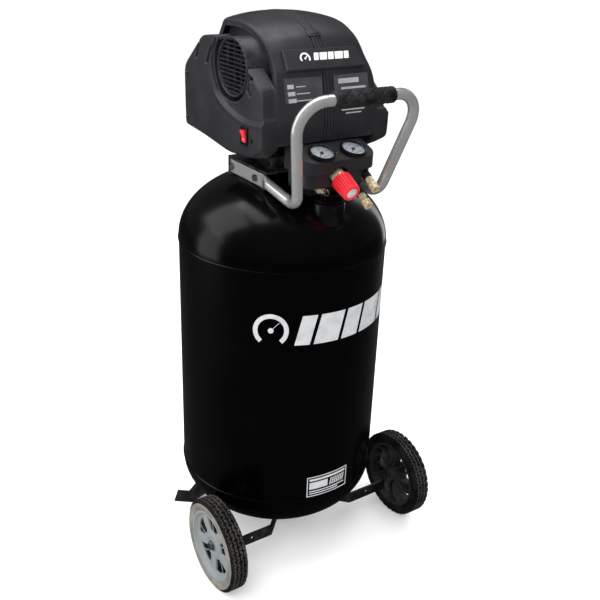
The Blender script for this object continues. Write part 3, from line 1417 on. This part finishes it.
def couplers():
    """Hexagonal coupler bodies with an open socket, and their sleeves."""
    sockets = bmesh.new()
    for name in ("upper", "lower"):
        mount = MOUNTS[f"{name}_coupler_bore"]
        outward = Vector(mount["axis"])
        place = axis_frame(Vector(mount["pos_m"]) - outward * COUPLER_LEN, outward)
        flat_plate(sockets, place, [hexagon(0.0148)], 0.0, 0.0108, 0.0006)
        lathe(sockets, place, [
            (0.0004, 0.0100), (0.0062, 0.0100), (0.0070, 0.0112), (0.0070, 0.0292), (0.0064, 0.0299),
            (0.0046, 0.0299), (0.0041, 0.0292), (0.0041, 0.0125), (0.0004, 0.0122),
        ], count=48)
        sleeve(place, name)
    piece("coupler_sockets", sockets, "tank", "brass", ["coupler_bodies"], 36)


# ---------------------------------------------------------------- relief valve and tank port
HOOP_WIRE_R = 0.0012


def relief_valve():
    """A small brass valve with a hexagon, a ridged barrel and a bright pull ring on its stem."""
    low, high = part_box("relief_valve_body")
    seat = Vector(((low.x + high.x) / 2, high.y, (low.z + high.z) / 2))
    place = axis_frame(seat, -BACK)
    bm = bmesh.new()
    flat_plate(bm, place, [hexagon(0.0146)], 0.0, 0.0088, 0.0005)
    lathe(bm, place, [
        (0.0022, 0.0102), (0.0022, 0.0080), (0.0058, 0.0080), (0.0058, 0.0105), (0.0060, 0.0112),
        (0.0056, 0.0122), (0.0056, 0.0138), (0.0060, 0.0146), (0.0056, 0.0154), (0.0056, 0.0190),
        (0.0050, 0.0199), (0.0022, 0.0199),
    ], count=48, close=True)
    piece("relief_valve_barrel", bm, "tank", "brass", ["relief_valve_body"], 36)

    low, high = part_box("relief_valve_ring")
    radius = (high.z - low.z) / 2 - HOOP_WIRE_R
    hoop = Vector((seat.x, low.y + radius + HOOP_WIRE_R, seat.z))
    bm = bmesh.new()
    lathe(bm, place, [
        (0.0003, 0.0141), (0.0019, 0.0141), (0.0019, 0.0222), (0.0014, 0.0229), (0.0003, 0.0230),
    ], count=24)
    wire = [(radius + spot.x, spot.y) for spot in ring(HOOP_WIRE_R, 12)]
    lathe(bm, axis_frame(hoop, RIGHT, UP), wire, close=True)
    piece("relief_pull_hoop", bm, "relief_pull", "chrome", ["relief_valve_ring"], 50)


def port_boot():
    """The black ringed boot where the controls stand on the tank."""
    low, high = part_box("tank_port_bushing")
    radius = (high.x - low.x) / 2
    top = high.z
    foot = low.z + 0.001
    profile = [(0.0010, foot), (radius, foot), (radius, top - 0.0212)]
    profile += [(radius - 0.0010, top - 0.0189), (radius - 0.0032, top - 0.0181)]
    for reach, height in ((0.0310, top - 0.0138), (0.0280, top - 0.0078)):
        profile += [
            (reach - 0.0045, height - 0.0038), (reach - 0.0045, height - 0.0022),
            (reach - 0.0010, height - 0.0015), (reach, height), (reach - 0.0010, height + 0.0015),
        ]
    profile += [(0.0212, top - 0.0052), (0.0208, top - 0.0006), (0.0200, top), (0.0010, top)]
    bm = bmesh.new()
    lathe(bm, Matrix.Translation(((low.x + high.x) / 2, high.y - radius, 0)), profile, count=96)
    piece("port_boot", bm, "tank", "black_steel", ["tank_port_bushing"], 50, [GLOSS_RUBBER])


# ---------------------------------------------------------------- rocker switch
def rocker():
    """A red rocker with a dished face in a black bezel, marked with a bar and a ring."""
    pivot = Vector(JOINTS["rocker_tip"]["pos_m"])
    face = Vector((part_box("switch_body")[0].x + 0.0025, pivot.y, pivot.z))
    place = axis_frame(face, -RIGHT, -BACK)
    well = box_outline(0.0152, 0.0266, 0.0012)
    case = box_outline(0.0198, 0.0298, 0.0010)
    bm = bmesh.new()
    flat_plate(bm, place, [box_outline(0.0258, 0.0358, 0.0034), well], -0.0006, 0.0024, 0.0008)
    flat_plate(bm, place, [case, well], -0.0112, -0.0004, 0.0002)
    flat_plate(bm, place, [case], -0.0218, -0.0110, 0.0006)
    piece("switch_bezel", bm, "tank", "bezel_plastic", ["switch_body"])

    side = axis_frame(pivot, BACK, -RIGHT)
    section = [
        (-0.0030, -0.0112), (-0.0020, -0.0118), (0.0026, -0.0118), (0.0034, -0.0113), (0.0036, -0.0080),
        (0.0040, -0.0040), (0.0049, 0.0), (0.0062, 0.0040), (0.0078, 0.0080), (0.0089, 0.0106),
        (0.0084, 0.0112), (0.0060, 0.0115), (-0.0020, 0.0115), (-0.0030, 0.0108),
    ]
    bm = bmesh.new()
    flat_plate(bm, side, [section], -0.0070, 0.0070, 0.0005)
    turned = side.to_3x3()
    upper = axis_frame(side @ Vector((0.0071, 0.0062, 0)), turned @ Vector((0.93, -0.37, 0)), BACK)
    lower = axis_frame(side @ Vector((0.0040, -0.0062, 0)), turned @ Vector((0.99, -0.10, 0)), BACK)
    polyline(bm, upper, [(0, -0.0018), (0, 0.0018)], 0.0008, -0.0004, 0.0001)
    polyline(bm, lower, arc(0.0017, 0, 360, 16), 0.0006, -0.0004, 0.0002)
    materials = [SLOT_MATERIALS["red_plastic"], PRINT_WHITE]
    piece("rocker_key", bm, "power_rocker", "red_plastic", ["rocker_switch"], 34, materials)


# ---------------------------------------------------------------- handle
TUBE_R = 0.011
GRIP_CENTRE = (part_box("handle_grip")[0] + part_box("handle_grip")[1]) / 2
HANDLE_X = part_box("handle_tube")[1].x - TUBE_R
RAIL_X = 0.097
RAIL_Z = 0.891
RAIL_STEPS = 15
FLARE_STEPS = 9
BAR_WIDE = 0.0020
BAR_TALL = 0.0139


def arc_path(points, radii, steps=16):
    """A polyline with true round bends of given radii."""
    path = [points[0]]
    for before, corner, after, radius in zip(points, points[1:], points[2:], radii):
        back = (before - corner).normalized()
        on = (after - corner).normalized()
        opening = back.angle(on)
        reach = radius * cos(opening / 2) / sin(opening / 2)
        centre = corner + (back + on).normalized() * radius / sin(opening / 2)
        first = corner + back * reach - centre
        last = corner + on * reach - centre
        bend = first.angle(last)
        for step in range(steps + 1):
            t = step / steps
            path.append(centre + (first * sin((1 - t) * bend) + last * sin(t * bend)) / sin(bend))
    path.append(points[-1])
    return path


def handle_section(index):
    """The handle's outline at a step of its path: a flat bar that swells into the round tube."""
    grow = step_up(index, RAIL_STEPS, RAIL_STEPS + FLARE_STEPS)
    wide = BAR_WIDE + (TUBE_R - BAR_WIDE) * grow
    tall = BAR_TALL + (TUBE_R - BAR_TALL) * grow
    if index == 0:
        wide, tall = wide - 0.0005, tall - 0.0012
    power = 0.28 + 0.72 * grow
    points = []
    for step in range(40):
        x, y = polar(1.0, 2 * pi * (step + 0.5) / 40).xy
        points.append((copysign(wide * abs(x) ** power, x), copysign(tall * abs(y) ** power, y)))
    return points


def handle():
    """The bent handle, whose flattened ends are bolted to the rails."""
    bm = bmesh.new()
    for sign in SIDES.values():
        x = sign * RAIL_X
        taper = Vector((x, -0.080, 0.887))
        front = Vector((x, -0.050, RAIL_Z))
        path = [Vector((x, 0.080, RAIL_Z))]
        path += [Vector((x, 0.0795 - 0.1295 * k / (RAIL_STEPS - 1), RAIL_Z)) for k in range(RAIL_STEPS)]
        path += [front.lerp(taper, k / (FLARE_STEPS + 1)) for k in range(1, FLARE_STEPS + 1)]
        corner = Vector((sign * HANDLE_X, GRIP_CENTRE.y, GRIP_CENTRE.z))
        end = Vector((0, GRIP_CENTRE.y, GRIP_CENTRE.z))
        path += arc_path([taper, Vector((x, -0.177, 0.870)), corner, end], (0.034, 0.052))
        tube(bm, path, handle_section, RIGHT)
    piece("handle_frame", bm, "tank", "handle_metal", ["handle_tube"], 50)


GRIP_COUNT = 120
GRIP_ROWS = 170
GRIP_GROOVE = 0.0017


def grip():
    """A rubber sleeve with crossed diagonal grooves between plain end bands."""
    low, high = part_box("handle_grip")
    half = (high.x - low.x) / 2
    radius = (high.z - low.z) / 2
    pitch = 2 * pi * radius / 4
    rows = []
    for row in range(GRIP_ROWS + 1):
        along = -half + 0.0018 + (2 * half - 0.0036) * row / GRIP_ROWS
        plain = step_up(abs(along), half - 0.0105, half - 0.0085)
        collar = 1 - step_up(abs(abs(along) - (half - 0.0088)), 0.0005, 0.0014)
        second = 0.7 - 0.7 * step_up(abs(abs(along) - (half - 0.0050)), 0.0004, 0.0011)
        loop = []
        for step in range(GRIP_COUNT):
            turn = 2 * pi * step / GRIP_COUNT
            cut = max(collar, second)
            for way in (1, -1):
                share = ((along * 0.9 + way * turn * radius) / pitch) % 1.0
                groove = 1 - step_up(min(share, 1 - share) * pitch, 0.0008, 0.0020)
                cut = max(cut, groove * (1 - plain))
            loop.append(polar(radius - GRIP_GROOVE * cut, turn, along))
        rows.append(loop)
    ends = ((-half, 0.0030), (-half, 0.0012), (-half + 0.0006, 0.0004))
    rows = [ring(radius - drop, GRIP_COUNT, along) for along, drop in ends] + rows
    rows += [ring(radius - drop, GRIP_COUNT, -along) for along, drop in reversed(ends)]
    place = axis_frame(GRIP_CENTRE, RIGHT, UP)
    bm = bmesh.new()
    skin(bm, [[place @ spot for spot in row] for row in rows])
    piece("grip_sleeve", bm, "tank", "grip_rubber", ["handle_grip"], 60)


# ---------------------------------------------------------------- the scene
tank_shell()
welds()
tank_mark()
tank_label()
for side_name, side_sign in SIDES.items():
    tyre(side_name, side_sign)
    hub(side_name, side_sign)
centre_cover()
cover_labels()
cover_catch()
badge()
for side_name, side_sign in SIDES.items():
    side_cover(side_name, side_sign)
    grille(side_name, side_sign)
console()
gauges()
knob_body(joint_frame("regulator_turn"))
knob_disc(joint_frame("regulator_turn"))
couplers()
relief_valve()
port_boot()
rocker()
handle()
grip()
dress_cad_nodes()
backdrop()
surround()
lamps()
camera()
bpy.context.scene.view_settings.view_transform = "Standard"
